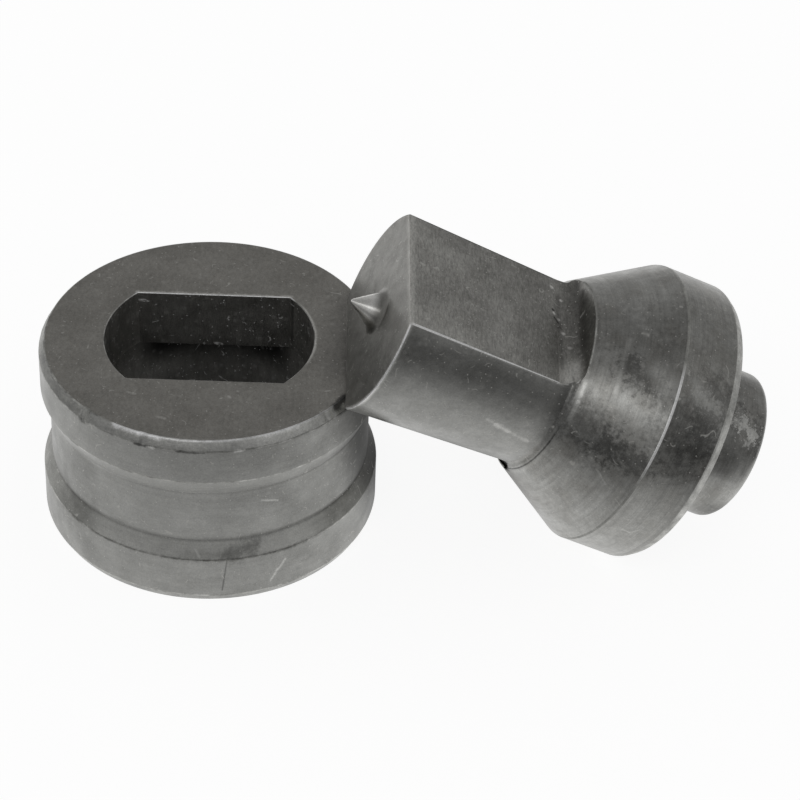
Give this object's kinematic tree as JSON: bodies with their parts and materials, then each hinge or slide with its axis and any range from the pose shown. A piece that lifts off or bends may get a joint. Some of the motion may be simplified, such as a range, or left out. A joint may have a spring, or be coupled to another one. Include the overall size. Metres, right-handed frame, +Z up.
{
  "type": "busbar punch die set",
  "caption": "Round grooved die with a double-D slot for punching slots in busbar, and its matching punch with a conical flanged head, leaning on the die's rim.",
  "frame": {"origin": "centre of the die's base, on the axis of its slug bore", "axes": "+Z up the die's axis, out of its slot; +X along the slot's long side, towards the punch's tail"},
  "size_m": [0.0859, 0.04, 0.0403],
  "materials": {
    "die_steel": "satin",
    "punch_steel": "satin"
  },
  "bodies": {
    "root": {"die": "die_steel", "punch": "punch_steel"}
  },
  "joints": []
}
